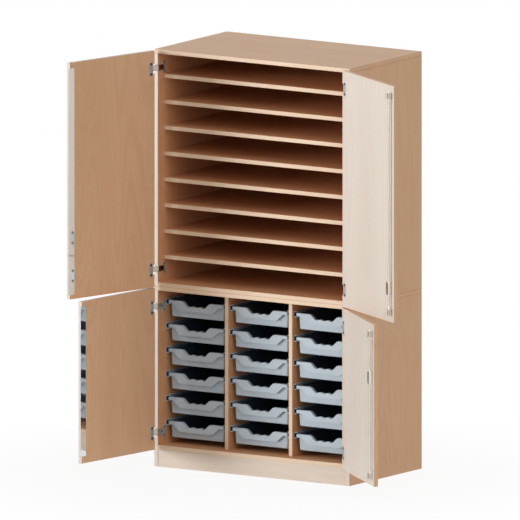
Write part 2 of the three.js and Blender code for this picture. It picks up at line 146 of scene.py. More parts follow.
REAR_STATIONS = (90.0, 45.0, 0.0)
WALL_BREAK = -40.0

# Locks and strike strips, measured along the door from the hinge edge
ROD_U, ROD_V, ROD_RADIUS = DOOR_WIDTH - 27.0, BOARD + 11.0, 4.0
ROD_END = 29.5
SPINDLE_U, SPINDLE_RADIUS = ROD_U - 12.5, 5.0
HOOK_FROM_END, HOOK_HEIGHT, HOOK_RADIUS, HOOK_BORE = 45.0, 27.0, 9.0, 4.6
HOOK_MOUTH = 40
GUIDE_FROM_END, GUIDE_RADIUS, GUIDE_HALF = 64.5, 7.0, 5.0
FOOT_HALF, FOOT_THICKNESS, FOOT_SCREW = 14.0, 1.5, 11.0
CASE_LEVELS = {"upper": DOOR_SPANS["upper"][0] + 155.0, "lower": DOOR_SPANS["lower"][1] - 246.0}
CASE_HALF, CASE_DEPTH, CASE_SCREW_RISE = 28.5, 18.0, 20.0
CASE_PAST_SPINDLE, CASE_PAST_ROD = 7.5, 5.5
PLUG_RADIUS, PLUG_THICKNESS, PLUG_EDGE = 11.0, 3.0, 0.8
KEY_SLOT, KEY_SLOT_DEPTH = (1.1, 5.0), 2.0
SPINDLE_REACH, SPINDLE_BITE = BOARD + 2 * SEAM + 12.0, 0.5
ROSETTE_RADIUS, ROSETTE_PLAY, ROSETTE_LOW, ROSETTE_HIGH = 15.5, 0.4, 1.2, 1.6
STRIP_COVER, STRIP_OVERHANG, STRIP_THICKNESS = 26.0, 9.0, 2.5
STRIP_TAPER = 0.055
STRIP_ENDS = {"upper": (20.0, 26.0), "lower": (33.0, 21.0)}
STRIP_SCREWS, STRIP_SCREW_MARGIN = 6, 30.0

# Edge radii of small parts, and how finely round ones are divided
RAIL_EDGE, TRAY_EDGE, STRIP_EDGE = 0.7, 0.7, 0.3
SHEET_EDGE, PRESSED_EDGE, PLATE_EDGE, ARM_EDGE = 0.4, 0.5, 0.6, 0.8
CASE_EDGE, ROD_EDGE, HOOK_EDGE = 1.0, 0.8, 1.4
SMALL_CORNER, PLATE_CORNER = 2.0, 5.0
BIG_ROUND_SIDES, SMALL_ROUND_SIDES = 48, 24
SMOOTH_ANGLE, TRAY_EDGE_ANGLE = 50.0, 40.0

# Diameters of screw heads
RUNNER_SCREW, FLANGE_SCREW, PLATE_SCREW = 6.0, 12.0, 8.0
STRIP_SCREW, CASE_SCREW, GUIDE_SCREW = 5.0, 4.5, 4.0

# The photograph's parallel view, in degrees and metres: how far right of the front and up it stands,
# how much it takes in, and how far its middle is moved
VIEW_TURN, VIEW_RISE = 32.9, 9.1
VIEW_WIDTH, VIEW_RIGHT, VIEW_UP, VIEW_BACK = 2.344, 0.0303, 0.9732, 8.0
CLIP_END = 40.0

# Light: strength, width, degrees right of the front and degrees up
KEY = (0.73, 21.0, -42.0, 3.5)
FILL = (0.33, 70.0, 58.0, 38.0)
SURROUND = 0.30
FLOOR_HALF = 14.0
SHADOW_FADE, SHADOW_LEFT = (0.6, 1.8), 0.9


# Veneer figure: patch sizes across and along the grain, in millimetres, and how each darkens the tone:
# the noise levels where it starts and is full, and its largest share
BAND_SIZE, STREAK_SIZE, FLECK_SIZE = (150.0, 1300.0), (7.0, 240.0), (3.2, 24.0)
BAND_SHARE, LINE_SHARE = (0.35, 0.65, 0.45), (0.0, 1.0, 0.42)
STREAK_SHARE, FLECK_SHARE = (0.4, 0.7, 0.35), (0.62, 0.74, 0.35)
GROWTH_LINES = 95.0
LACQUER_GLOSS = (0.42, 0.52)


def linear(code):
    """An sRGB hex colour as linear RGBA."""
    values = [int(code[i:i + 2], 16) / 255 for i in (1, 3, 5)]
    return [v / 12.92 if v <= 0.04045 else ((v + 0.055) / 1.055) ** 2.4 for v in values] + [1.0]


def put(tree, kind, inputs=None, **settings):
    """Adds a node with its settings. Each input is a value or a socket to link.

    A Map Range takes its value at input 0, its old limits at 1 and 2 and its new ones at 3 and 4.
    A colour Mix takes its share at 0 and its colours at 6 and 7.
    """
    node = tree.nodes.new(kind)
    for key, value in settings.items():
        setattr(node, key, value)
    for key, value in (inputs or {}).items():
        if isinstance(value, bpy.types.NodeSocket):
            tree.links.new(value, node.inputs[key])
        else:
            node.inputs[key].default_value = value
    return node


# Materials

def start_material(name):
    """A new material with its tree, its shader and the object's own coordinates."""
    material = bpy.data.materials.new(name)
    material.use_nodes = True
    tree = material.node_tree
    place = put(tree, "ShaderNodeTexCoord").outputs["Object"]
    return material, tree, tree.nodes["Principled BSDF"], place


def figure(tree, place, size, detail):
    """Noise whose patches measure the given millimetres along X, Y and Z."""
    mapped = put(tree, "ShaderNodeMapping", {"Vector": place, "Scale": [1000.0 / s for s in size]})
    inputs = {"Vector": mapped.outputs[0], "Scale": 1.0, "Detail": detail, "Roughness": 0.55}
    return put(tree, "ShaderNodeTexNoise", inputs).outputs[0]


def beech(name, axis, tone, dark, fleck):
    """Steamed beech veneer under satin lacquer: quiet bands, arched growth lines and short dark ray flecks.

    Real flecks are under a millimetre wide. They are drawn a few times wider, to show from a step away.
    """
    material, tree, shader, place = start_material(name)

    def along_grain(across, along):
        return [along if letter == axis else across for letter in "XYZ"]

    bands = figure(tree, place, along_grain(*BAND_SIZE), 0.0)
    streaks = figure(tree, place, along_grain(*STREAK_SIZE), 3.0)
    flecks = figure(tree, place, along_grain(*FLECK_SIZE), 1.0)
    phase = put(tree, "ShaderNodeMath", {0: bands, 1: GROWTH_LINES}, operation="MULTIPLY").outputs[0]
    lines = put(tree, "ShaderNodeMath", {0: phase}, operation="SINE").outputs[0]
    colour = linear(tone)
    layers = (
        (bands, BAND_SHARE, dark),
        (lines, LINE_SHARE, dark),
        (streaks, STREAK_SHARE, dark),
        (flecks, FLECK_SHARE, fleck),
    )
    for level, (start, full, most), other in layers:
        share = put(tree, "ShaderNodeMapRange", {0: level, 1: start, 2: full, 4: most}).outputs[0]
        blend = {0: share, 6: colour, 7: linear(other)}
        colour = put(tree, "ShaderNodeMix", blend, data_type="RGBA").outputs[2]
    tree.links.new(colour, shader.inputs["Base Color"])
    limits = {0: streaks, 1: 0.3, 2: 0.7, 3: LACQUER_GLOSS[0], 4: LACQUER_GLOSS[1]}
    gloss = put(tree, "ShaderNodeMapRange", limits).outputs[0]
    tree.links.new(gloss, shader.inputs["Roughness"])
    bump = put(tree, "ShaderNodeBump", {"Height": flecks, "Strength": 0.05, "Distance": 0.0004})
    tree.links.new(bump.outputs[0], shader.inputs["Normal"])
    return material


def moulded(name, tone, shade, roughness, grit):
    """Injection-moulded plastic: a fine even grit that breaks up the gloss, and a faint cloudiness."""
    material, tree, shader, place = start_material(name)
    cloud = figure(tree, place, [90.0] * 3, 2.0)
    grain = figure(tree, place, [grit] * 3, 2.0)
    share = put(tree, "ShaderNodeMapRange", {0: cloud, 1: 0.35, 2: 0.65}).outputs[0]
    blend = {0: share, 6: linear(tone), 7: linear(shade)}
    colour = put(tree, "ShaderNodeMix", blend, data_type="RGBA").outputs[2]
    tree.links.new(colour, shader.inputs["Base Color"])
    spread = {0: grain, 1: 0.3, 2: 0.7, 3: roughness - 0.05, 4: roughness + 0.06}
    gloss = put(tree, "ShaderNodeMapRange", spread).outputs[0]
    tree.links.new(gloss, shader.inputs["Roughness"])
    bump = put(tree, "ShaderNodeBump", {"Height": grain, "Strength": 0.08, "Distance": 0.0003})
    tree.links.new(bump.outputs[0], shader.inputs["Normal"])
    return material


def plated(name, tone, shade, roughness, spread, metal):
    """Plated or polished steel: bright, with a slight unevenness of gloss from drawing and handling.

    A satin plate scatters light like a paint as well, so it is only partly metal.
    """
    material, tree, shader, place = start_material(name)
    shader.inputs["Metallic"].default_value = metal
    marks = figure(tree, place, [3.0, 3.0, 45.0], 2.0)
    share = put(tree, "ShaderNodeMapRange", {0: marks, 1: 0.3, 2: 0.7}).outputs[0]
    blend = {0: share, 6: linear(tone), 7: linear(shade)}
    colour = put(tree, "ShaderNodeMix", blend, data_type="RGBA").outputs[2]
    tree.links.new(colour, shader.inputs["Base Color"])
    limits = {0: marks, 1: 0.3, 2: 0.7, 3: roughness - spread, 4: roughness + spread}
    gloss = put(tree, "ShaderNodeMapRange", limits).outputs[0]
    tree.links.new(gloss, shader.inputs["Roughness"])
    return material


# Warm honey beech on the outer faces, with the grain up the doors and along the panels
BEECH_UPRIGHT = beech("beech_upright_grain", "Z", "#dfb48e", "#d3a57c", "#bb8b62")
BEECH_LEVEL = beech("beech_level_grain", "X", "#dfb48e", "#d3a57c", "#bb8b62")
# A deeper, redder beech on the inner faces, which is painted shade for the sheltered inside
PAINTED_SHADE_UPRIGHT = beech("beech_painted_shade_upright_grain", "Z", "#d9a277", "#cc9469", "#b0784f")
PAINTED_SHADE_LEVEL = beech("beech_painted_shade_level_grain", "X", "#d9a277", "#cc9469", "#b0784f")
# Edge bands, painted lighter as the light on the front edges, which draw every shelf and divider as a clear
# line
BAND_PAINTED_LIGHT_UPRIGHT = beech("beech_edge_band_painted_light_upright", "Z", "#e5ccb0", "#dabea0", "#c8a786")
BAND_PAINTED_LIGHT_LEVEL = beech("beech_edge_band_painted_light_level", "X", "#e5ccb0", "#dabea0", "#c8a786")
# A pale greyish beech on the plinth, painted light, which sets it off from the carcass
PLINTH_PAINTED_LIGHT = beech("beech_plinth_painted_light_level_grain", "X", "#dacbbc", "#d0bfae", "#bea994")
# The palest beech, almost white, painted light on faces turned to the key: the right doors' inner faces, the
# sides' front edges and the left doors' edges
PAINTED_LIGHT_UPRIGHT = beech("beech_painted_light_upright_grain", "Z", "#ddd3c9", "#d3c7bb", "#c2b2a2")
# Cool light grey fronts with a soft sheen, and tub insides in a dark painted shade, so that they read as
# deep
TRAY_PLASTIC = moulded("polypropylene_light_grey", "#b3c1ca", "#adbcc6", 0.42, 1.6)
TRAY_PAINTED_SHADE = moulded("polypropylene_painted_shade", "#465369", "#3f4b61", 0.5, 2.4)
# Pale blue runner plastic, and a dark navy painted shade inside its channel
RUNNER_PLASTIC = moulded("runner_abs_pale_blue", "#b4c4cf", "#a9bac6", 0.3, 2.0)
RUNNER_CHANNEL_PAINTED_SHADE = moulded("runner_abs_painted_shade_channel", "#3a475c", "#334055", 0.4, 2.0)
# Small bright glints on locks, rods and hinge arms
NICKEL = plated("bright_nickel_plate", "#ded7ce", "#d4ccc2", 0.13, 0.04, 1.0)
# Calm, even grey on flat plates and flanges
SATIN_NICKEL = plated("satin_nickel_plate", "#c9cacb", "#bebfc0", 0.42, 0.06, 0.6)
# A mirror that shows the opposite door and the shelves
POLISHED = plated("polished_steel_strip", "#e4e5e5", "#dfe0e0", 0.03, 0.01, 1.0)
# Near-black dots that mark each screw
SCREW_STEEL = plated("blackened_screw_steel", "#232326", "#19191b", 0.38, 0.08, 1.0)


# Meshes

def soften(bm, width, segments=2, angle=35.0):
    """Rounds every edge that is sharper than the angle."""
    limit = math.radians(angle)
    sharp = [e for e in bm.edges if len(e.link_faces) == 2 and e.calc_face_angle(0.0) > limit]
    bmesh.ops.bevel(bm, geom=sharp, offset=width, offset_type="OFFSET", segments=segments, profile=0.6,
                    affect="EDGES", clamp_overlap=True)
    return bm


def prism(outline, low, high, along):
    """A closed solid: an outline of point pairs, pushed from low to high along X, Y or Z.

    The low end takes material slot 0, the sides slot 1 and the high end slot 2.
    """
    places = {
        "X": lambda a, b, h: (h, a, b),
        "Y": lambda a, b, h: (a, h, b),
        "Z": lambda a, b, h: (a, b, h),
    }
    order = places[along]
    bm = bmesh.new()
    bottom = [bm.verts.new(order(a, b, low)) for a, b in outline]
    top = [bm.verts.new(order(a, b, high)) for a, b in outline]
    bm.faces.new(bottom).material_index = 0
    bm.faces.new(top).material_index = 2
    count = len(outline)
    for i in range(count):
        side = bm.faces.new((bottom[i], bottom[(i + 1) % count], top[(i + 1) % count], top[i]))
        side.material_index = 1
    bmesh.ops.recalc_face_normals(bm, faces=bm.faces)
    return bm


def joined(parts):
    """One bmesh from several, which are used up."""
    whole = bmesh.new()
    for part in parts:
        shell = bpy.data.meshes.new("shell")
        part.to_mesh(shell)
        part.free()
        whole.from_mesh(shell)
        bpy.data.meshes.remove(shell)
    return whole


def arc(centre, radius, start, end, steps):
    """Points on an arc, with its angles in degrees."""
    angles = [math.radians(start + (end - start) * i / steps) for i in range(steps + 1)]
    return [(centre[0] + radius * math.cos(a), centre[1] + radius * math.sin(a)) for a in angles]


def circle(centre, radius, sides):
    return arc(centre, radius, 0.0, 360.0 * (sides - 1) / sides, sides - 1)


def rounded_rectangle(a, b, radius, steps=5):
    """The outline of a rectangle from corner a to corner b with round corners."""
    low, high = (a[0] + radius, a[1] + radius), (b[0] - radius, b[1] - radius)
    points = arc(high, radius, 0, 90, steps)
    points += arc((low[0], high[1]), radius, 90, 180, steps)
    points += arc(low, radius, 180, 270, steps)
    return points + arc((high[0], low[1]), radius, 270, 360, steps)


def notched(near, far, low, high, levels, deep, tall, radius):
    """A board's outline with round-cornered notches in its near edge, at the given levels."""
    points = [(far, low), (far, high), (near, high)]
    for level in sorted(levels, reverse=True):
        top, bottom = level + tall / 2, level - tall / 2
        points.append((near, top))
        points += arc((near + deep - radius, top - radius), radius, 90, 0, 4)
        points += arc((near + deep - radius, bottom + radius), radius, 0, -90, 4)
        points.append((near, bottom))
    return points + [(near, low)]


def recessed_head(rings, recess, depth, taper, sides):
    """A turned head facing +Z, with the recess outline sunk into its top face."""
    bm = bmesh.new()
    loops = []
    for radius, height in rings:
        loops.append([bm.verts.new((x, y, height)) for x, y in circle((0.0, 0.0), radius, sides)])
    for low, high in zip(loops, loops[1:]):
        for i in range(sides):
            bm.faces.new((low[i], low[(i + 1) % sides], high[(i + 1) % sides], high[i]))
    bm.faces.new(loops[0])
    top = rings[-1][1]
    count = len(recess)
    mouth = [bm.verts.new((x, y, top)) for x, y in recess]
    floor = [bm.verts.new((taper * x, taper * y, top - depth)) for x, y in recess]
    edges = [bm.edges.new((mouth[i], mouth[(i + 1) % count])) for i in range(count)]
    edges += [bm.edges.get((loops[-1][i], loops[-1][(i + 1) % sides])) for i in range(sides)]
    bmesh.ops.triangle_fill(bm, use_beauty=True, edges=edges)
    for i in range(count):
        bm.faces.new((mouth[i], mouth[(i + 1) % count], floor[(i + 1) % count], floor[i]))
    bm.faces.new(floor)
    bmesh.ops.recalc_face_normals(bm, faces=bm.faces)
    return bm


def finish_piece(name, mesh, materials, body, nodes=()):
    """Dresses a mesh and lets it ride on its body, in place of the CAD nodes named."""
    mesh.name = name
    for material in materials[len(mesh.materials):]:
        mesh.materials.append(material)
    mesh.polygons.foreach_set("use_smooth", [True] * len(mesh.polygons))
    mesh.set_sharp_from_angle(angle=math.radians(SMOOTH_ANGLE))
    piece = bpy.data.objects.new(name, mesh)
    bpy.context.scene.collection.objects.link(piece)
    even = piece.modifiers.new("flat_faces", "WEIGHTED_NORMAL")
    even.keep_sharp = True
    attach(piece, body)
    if nodes:
        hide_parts(*nodes)
    return piece


def make_piece(name, bm, materials, body, nodes, matrix):
    """Turns a bmesh in millimetres into a finished piece. A mirroring matrix turns its faces round again."""
    bmesh.ops.transform(bm, matrix=matrix, verts=bm.verts)
    if matrix.determinant() < 0:
        bmesh.ops.reverse_faces(bm, faces=bm.faces)
    mesh = bpy.data.meshes.new(name)
    bm.to_mesh(mesh)
    bm.free()
    return finish_piece(name, mesh, materials, body, nodes)


def in_metal(name, parts, finish, body, nodes, matrix):
    return make_piece(name, joined(parts), [finish] * 3, body, nodes, matrix)


# Places: carcass millimetres, and millimetres along, through and up a door, to frame metres

CARCASS = Matrix.Translation((0.0, ROW_Y * MM, 0.0)) @ Matrix.Scale(MM, 4)


def pivot_matrix(side, angle=0.0):
    """From millimetres at the pivot (in along the door, back through it, up), with the door so far open."""
    sign = SIGNS[side]
    turn = Matrix.Rotation(math.radians(sign * angle), 4, "Z")
    inward = Matrix.Diagonal((-sign, 1.0, 1.0, 1.0))
    return CARCASS @ Matrix.Translation((sign * PIVOT_X, PIVOT_Y, 0.0)) @ turn @ inward


def facing(matrix, direction):
    return (matrix.to_3x3() @ Vector(direction)).normalized()


# Repeats, made with Geometry Nodes

PATTERNS = []


def pattern_object(name, bm):
    """A shape for a tree to repeat. It is removed before the end."""
    mesh = bpy.data.meshes.new(name)
    bm.to_mesh(mesh)
    bm.free()
    pattern = bpy.data.objects.new(name, mesh)
    bpy.context.scene.collection.objects.link(pattern)
    PATTERNS.append(pattern)
    return pattern


def repeat_tree(name, sockets):
    """A new tree with its named inputs, and the sockets that give them."""
    tree = bpy.data.node_groups.new(name, "GeometryNodeTree")
    tree.interface.new_socket("Geometry", in_out="INPUT", socket_type="NodeSocketGeometry")
    for label, kind in sockets.items():
        tree.interface.new_socket(label, in_out="INPUT", socket_type=kind)
    tree.interface.new_socket("Geometry", in_out="OUTPUT", socket_type="NodeSocketGeometry")
    return tree, put(tree, "NodeGroupInput").outputs


def end_tree(tree, instances, finish, channel=None):
    """Makes the copies real and dresses them, with painted shade as the finish for faces marked as a
    channel.
    """
    real = put(tree, "GeometryNodeRealizeInstances", {"Geometry": instances})
    dressed = put(tree, "GeometryNodeSetMaterial", {"Geometry": real.outputs[0], "Material": finish})
    if channel:
        mark = put(tree, "GeometryNodeInputNamedAttribute", {"Name": "channel"}, data_type="BOOLEAN")
        inputs = {"Geometry": dressed.outputs[0], "Selection": mark.outputs[0], "Material": channel}
        dressed = put(tree, "GeometryNodeSetMaterial", inputs)
    put(tree, "NodeGroupOutput", {"Geometry": dressed.outputs[0]})


def screws_tree():
    """Sets a screw on each mark, turned as the mark's turn attribute says."""
    sockets = {"Screw": "NodeSocketObject", "Head Size": "NodeSocketFloat", "Finish": "NodeSocketMaterial"}
    tree, given = repeat_tree("screws_on_marks", sockets)
    screw = put(tree, "GeometryNodeObjectInfo", {"Object": given["Screw"]}).outputs["Geometry"]
    turn = put(tree, "GeometryNodeInputNamedAttribute", {"Name": "turn"}, data_type="FLOAT_VECTOR")
    inputs = {
        "Points": given["Geometry"],
        "Instance": screw,
        "Rotation": turn.outputs[0],
        "Scale": given["Head Size"],
    }
    placed = put(tree, "GeometryNodeInstanceOnPoints", inputs)
    end_tree(tree, placed.outputs[0], given["Finish"])
    return tree


def runners_tree():
    """Stacks a runner up a panel face, one for each row of trays."""
    sockets = {
        "Runner": "NodeSocketObject",
        "Rows": "NodeSocketInt",
        "Pitch": "NodeSocketFloat",
        "Lowest": "NodeSocketFloat",
        "Finish": "NodeSocketMaterial",
        "Channel Painted Shade": "NodeSocketMaterial",
    }
    tree, given = repeat_tree("runner_stack", sockets)
    runner = put(tree, "GeometryNodeObjectInfo", {"Object": given["Runner"]}).outputs["Geometry"]
    step = put(tree, "ShaderNodeCombineXYZ", {2: given["Pitch"]}).outputs[0]
    foot = put(tree, "ShaderNodeCombineXYZ", {2: given["Lowest"]}).outputs[0]
    inputs = {"Count": given["Rows"], "Start Location": foot, "Offset": step}
    levels = put(tree, "GeometryNodeMeshLine", inputs, mode="OFFSET", count_mode="TOTAL").outputs[0]
    placed = put(tree, "GeometryNodeInstanceOnPoints", {"Points": levels, "Instance": runner})
    end_tree(tree, placed.outputs[0], given["Finish"], given["Channel Painted Shade"])
    return tree


def grown(host_mesh, tree, values):
    """The plain mesh that a tree makes on a host mesh, with its inputs set by identifier."""
    host = bpy.data.objects.new("host", host_mesh)
    bpy.context.scene.collection.objects.link(host)
    modifier = host.modifiers.new("repeat", "NODES")
    modifier.node_group = tree
    keys = {item.name: item.identifier for item in tree.interface.items_tree if item.in_out == "INPUT"}
    for label, value in values.items():
        modifier[keys[label]] = value
    bpy.context.view_layer.update()
    mesh = bpy.data.meshes.new_from_object(host.evaluated_get(bpy.context.evaluated_depsgraph_get()))
    host.modifiers.remove(modifier)
    bpy.data.objects.remove(host)
    return mesh


def screw_shape():
    """A countersunk screw head of unit diameter with a sunk cross recess."""
    arm, reach = 0.07, 0.24
    quarter = [(reach, -arm), (reach, arm), (arm, arm)]
    cross = []
    for turn in range(4):
        c, s = (1, 0, -1, 0)[turn], (0, 1, 0, -1)[turn]
        cross += [(c * x - s * y, s * x + c * y) for x, y in quarter]
    rings = ((0.5, -0.12), (0.5, 0.0), (0.45, 0.06), (0.3, 0.1))
    return recessed_head(rings, cross, depth=0.18, taper=0.75, sides=16)


SCREW = pattern_object("screw_pattern", screw_shape())
SCREWS = screws_tree()
RUNNERS = runners_tree()


def screws(name, places, size, body, finish=SCREW_STEEL):
    """Screws of one head size, each at a point and facing a direction."""
    marks = bpy.data.meshes.new("marks")
    marks.from_pydata([point for point, _ in places], [], [])
    turn = marks.attributes.new("turn", "FLOAT_VECTOR", "POINT")
    for mark, (_, direction) in zip(turn.data, places):
        mark.vector = Vector(direction).to_track_quat("Z", "Y").to_euler()
    mesh = grown(marks, SCREWS, {"Screw": SCREW, "Head Size": size * MM, "Finish": finish})
    return finish_piece(name, mesh, [finish], body)


# Carcass boards

def board(node, x, y, z, low, front, high, rest):
    """A plain board with softened edges and a band on its front edge."""
    spans = (x, y, z)
    thin = min(range(3), key=lambda i: spans[i][1] - spans[i][0])
    a, b = [spans[i] for i in range(3) if i != thin]
    outline = [(a[0], b[0]), (a[1], b[0]), (a[1], b[1]), (a[0], b[1])]
    bm = prism(outline, spans[thin][0], spans[thin][1], "XYZ"[thin])
    for side in bm.faces:
        if side.material_index == 1 and side.normal.y > -0.5:
            side.material_index = 3
    bm = soften(bm, EDGE_ROUND)
    make_piece(node + "_board", bm, [low, front, high, rest], "carcass", [node], CARCASS)


def side_board(part, side, low, high):
    """A carcass side, notched at its front edge for the hinge arms."""
    outline = notched(0.0, DEPTH, low, high, HINGE_LEVELS[part], SIDE_NOTCH, SIDE_NOTCH_HEIGHT,
                      SIDE_NOTCH_ROUND)
    near, far = sorted((SIGNS[side] * INNER, SIGNS[side] * WIDTH / 2))
    bm = prism(outline, near, far, "X")
    for face in bm.faces:
        if face.material_index == 1 and face.calc_center_median().y > DEPTH / 4:
            face.material_index = 3
    bm = soften(bm, EDGE_ROUND)
    node = f"{part}_{side}_side"
    # The front edge and notches are painted lighter as light, and the inner face darker as painted shade
    finishes = [BEECH_UPRIGHT, PAINTED_LIGHT_UPRIGHT, PAINTED_SHADE_UPRIGHT]
    if side == "right":
        finishes.reverse()
    finishes.append(BEECH_UPRIGHT)
    make_piece(node + "_board", bm, finishes, "carcass", [node], CARCASS)


def divider_left(index):
    return -INNER + index * COLUMN_CLEAR + (index - 1) * BOARD


def carcass_boards():
    # Faces that look into the carcass take painted shade, front edges the band painted lighter as light, and
    # the plinth painted light all over
    divider = (PAINTED_SHADE_UPRIGHT, BAND_PAINTED_LIGHT_UPRIGHT, PAINTED_SHADE_UPRIGHT, PAINTED_SHADE_UPRIGHT)
    back_faces = (PAINTED_SHADE_UPRIGHT, BAND_PAINTED_LIGHT_UPRIGHT, BEECH_UPRIGHT, BEECH_UPRIGHT)
    ceiling = (PAINTED_SHADE_LEVEL, BAND_PAINTED_LIGHT_LEVEL, BEECH_LEVEL, BEECH_LEVEL)
    bottom = (BEECH_LEVEL, BAND_PAINTED_LIGHT_LEVEL, PAINTED_SHADE_LEVEL, BEECH_LEVEL)
    shelf = (PAINTED_SHADE_LEVEL, BAND_PAINTED_LIGHT_LEVEL, PAINTED_SHADE_LEVEL, PAINTED_SHADE_LEVEL)
    inside, across = (-INNER + SEAM, INNER - SEAM), (-WIDTH / 2, WIDTH / 2)
    whole, back = (0.0, DEPTH), (DEPTH - BACK_BOARD, DEPTH)
    behind = (SETBACK, DEPTH - BACK_BOARD - SEAM)
    for side in SIGNS:
        side_board("upper", side, LOWER_TOP + SEAM, UPPER_CEILING - SEAM)
        side_board("lower", side, 0.0, LOWER_CEILING - SEAM)
    board("top_panel", across, whole, (UPPER_CEILING, HEIGHT), *ceiling)
    board("upper_bottom_panel", inside, whole, (LOWER_TOP + SEAM, UPPER_FLOOR), *bottom)
    board("upper_back", inside, back, (UPPER_FLOOR + SEAM, UPPER_CEILING - SEAM), *back_faces)
    board("lower_top_panel", across, whole, (LOWER_CEILING, LOWER_TOP), *ceiling)
    board("lower_bottom_panel", inside, whole, (PLINTH, LOWER_FLOOR), *bottom)
    board("lower_back", inside, back, (LOWER_FLOOR + SEAM, LOWER_CEILING - SEAM), *back_faces)
    plinth = (PLINTH_RECESS, PLINTH_RECESS + BOARD)
    board("plinth", inside, plinth, (0.0, PLINTH - SEAM), *[PLINTH_PAINTED_LIGHT] * 4)
    for i in range(1, COLUMNS):
        left = divider_left(i)
        rise = (LOWER_FLOOR + SEAM, LOWER_CEILING - SEAM)
        board(f"divider_{i}", (left, left + BOARD), behind, rise, *divider)
    for i in range(1, SHELVES + 1):
        low = UPPER_FLOOR + i * SHELF_PITCH - BOARD
        board(f"shelf_{i}", inside, behind, (low, low + BOARD), *shelf)


# Runners

def runner_shape(face, sign):
    """A C-shaped runner on the panel face at x, open towards sign. The tray's rim is at z 0."""
    low, high = -SKIRT - SEAM - RAIL_LIP, RAIL_HEAD_ROOM + RAIL_TOP_LIP
    profile = [(0.0, low), (RAIL_WIDTH, low), (RAIL_WIDTH, low + RAIL_LIP), (RAIL_WEB, low + RAIL_LIP),
               (RAIL_WEB, RAIL_HEAD_ROOM), (RAIL_WIDTH, RAIL_HEAD_ROOM), (RAIL_WIDTH, high), (0.0, high)]
    outline = [(face + sign * a, b) for a, b in profile]
    slack = 0.1
    bm = soften(prism(outline, TRAY_SETBACK, TRAY_SETBACK + RAIL_LENGTH, "Y"), RAIL_EDGE)
    # Faces inside the channel are marked for painted shade
    channel = bm.faces.layers.int.new("channel")
    for patch in bm.faces:
        middle = patch.calc_center_median()
        away = sign * (middle.x - face)
        between = low + RAIL_LIP - slack < middle.z < RAIL_HEAD_ROOM + slack
        behind_edge = RAIL_WEB - slack < away < RAIL_WIDTH - 1.0
        patch[channel] = between and behind_edge and abs(patch.normal.y) < 0.5
    bmesh.ops.transform(bm, matrix=CARCASS, verts=bm.verts)
    return bm


def runners():
    faces = {"lower_left_side": (-INNER, 1), "lower_right_side": (INNER, -1)}
    for i in range(1, COLUMNS):
        faces[f"divider_{i}_left"] = (divider_left(i), -1)
        faces[f"divider_{i}_right"] = (divider_left(i) + BOARD, 1)
    for name, (face, sign) in faces.items():
        values = {
            "Runner": pattern_object(name + "_pattern", runner_shape(face, sign)),
            "Rows": ROWS,
            "Pitch": TRAY_PITCH * MM,
            "Lowest": LOWEST_RIM * MM,
            "Finish": RUNNER_PLASTIC,
            "Channel Painted Shade": RUNNER_CHANNEL_PAINTED_SHADE,
        }
        mesh = grown(bpy.data.meshes.new("foot"), RUNNERS, values)
        finish_piece(name + "_runners", mesh, [RUNNER_PLASTIC, RUNNER_CHANNEL_PAINTED_SHADE], "carcass")
        heads = []
        for row in range(ROWS):
            level = LOWEST_RIM + row * TRAY_PITCH - RUNNER_SCREW_DROP
            for back in RUNNER_SCREW_DEPTHS:
                head = (face + sign * RAIL_WEB, TRAY_SETBACK + back, level)
                heads.append((CARCASS @ Vector(head), (sign, 0, 0)))
        screws(name + "_runner_screws", heads, RUNNER_SCREW, "carcass")


# Trays

def dip(x):
    """Height of the front's upper edge: level, then an S curve down to finger scallops."""
    x = abs(x)
    if x >= DIP_HALF:
        return 0.0
    if x <= SCALLOP:
        return -DIP_DEPTH + SCALLOP_DEPTH * (1 - math.cos(math.tau * x / SCALLOP)) / 2
    share = (DIP_HALF - x) / (DIP_HALF - SCALLOP)
    return -DIP_DEPTH * (1 - math.cos(math.pi * share)) / 2


def pull_edge(x):
    """Height of the lip's lower edge: the pull hangs down in the middle."""
    share = (abs(x) - PULL_BOTTOM) / (PULL_TOP - PULL_BOTTOM)
    return -PULL_HEIGHT + (PULL_HEIGHT - LIP_HEIGHT) * min(max(share, 0.0), 1.0)


def half_stations():
    """From the front's middle round to the rear's: tub position, outer position, rim and lower edge."""
    straight = TUB_TOP - TUB_CORNER
    stations = []
    for out in [i * DIP_STEP for i in range(DIP_STATIONS)] + list(FRONT_STATIONS):
        spread = max(out - SPLAY, 0.0) * (straight - SPLAY) / (FRONT_END - SPLAY)
        stations.append(((min(out, SPLAY) + spread, TUB_FRONT), (out, 0.0), dip(out), pull_edge(out)))
    corner = arc((straight, TUB_FRONT + TUB_CORNER), TUB_CORNER, -90, 0, 6)
    outer = [(TRAY_LIP - LIP_ROUND, 0.0), (TRAY_LIP, LIP_ROUND), (TRAY_LIP, FLANGE_START / 2),
             (TRAY_LIP, FLANGE_START), (TRAY_LIP + 6.0, FLANGE_START),
             (TRAY_SIDE - FLANGE_ROUND, FLANGE_START), (TRAY_SIDE, FLANGE_START + FLANGE_ROUND)]
    lower = [-LIP_HEIGHT] * 4 + [-SKIRT] * 3
    stations += [(tub, out, 0.0, low) for tub, out, low in zip(corner, outer, lower)]
    for y in SIDE_STATIONS:
        stations.append(((TUB_TOP, y), (TRAY_SIDE, y), 0.0, -SKIRT))
    corner = arc((straight, TUB_REAR - TUB_CORNER), TUB_CORNER, 0, 90, 6)
    outer = [(TRAY_SIDE, 400.0), (TRAY_SIDE, 413.0), (TRAY_SIDE, TRAY_LENGTH - REAR_ROUND),
             (TRAY_SIDE - REAR_ROUND, TRAY_LENGTH), (TRAY_SIDE - 12.0, TRAY_LENGTH),
             (TRAY_SIDE - 20.0, TRAY_LENGTH), (TRAY_SIDE - 30.0, TRAY_LENGTH)]
    stations += [(tub, out, 0.0, -SKIRT) for tub, out in zip(corner, outer)]
    for x in REAR_STATIONS:
        stations.append(((x, TUB_REAR), (x, TRAY_LENGTH), 0.0, -SKIRT))
    return stations


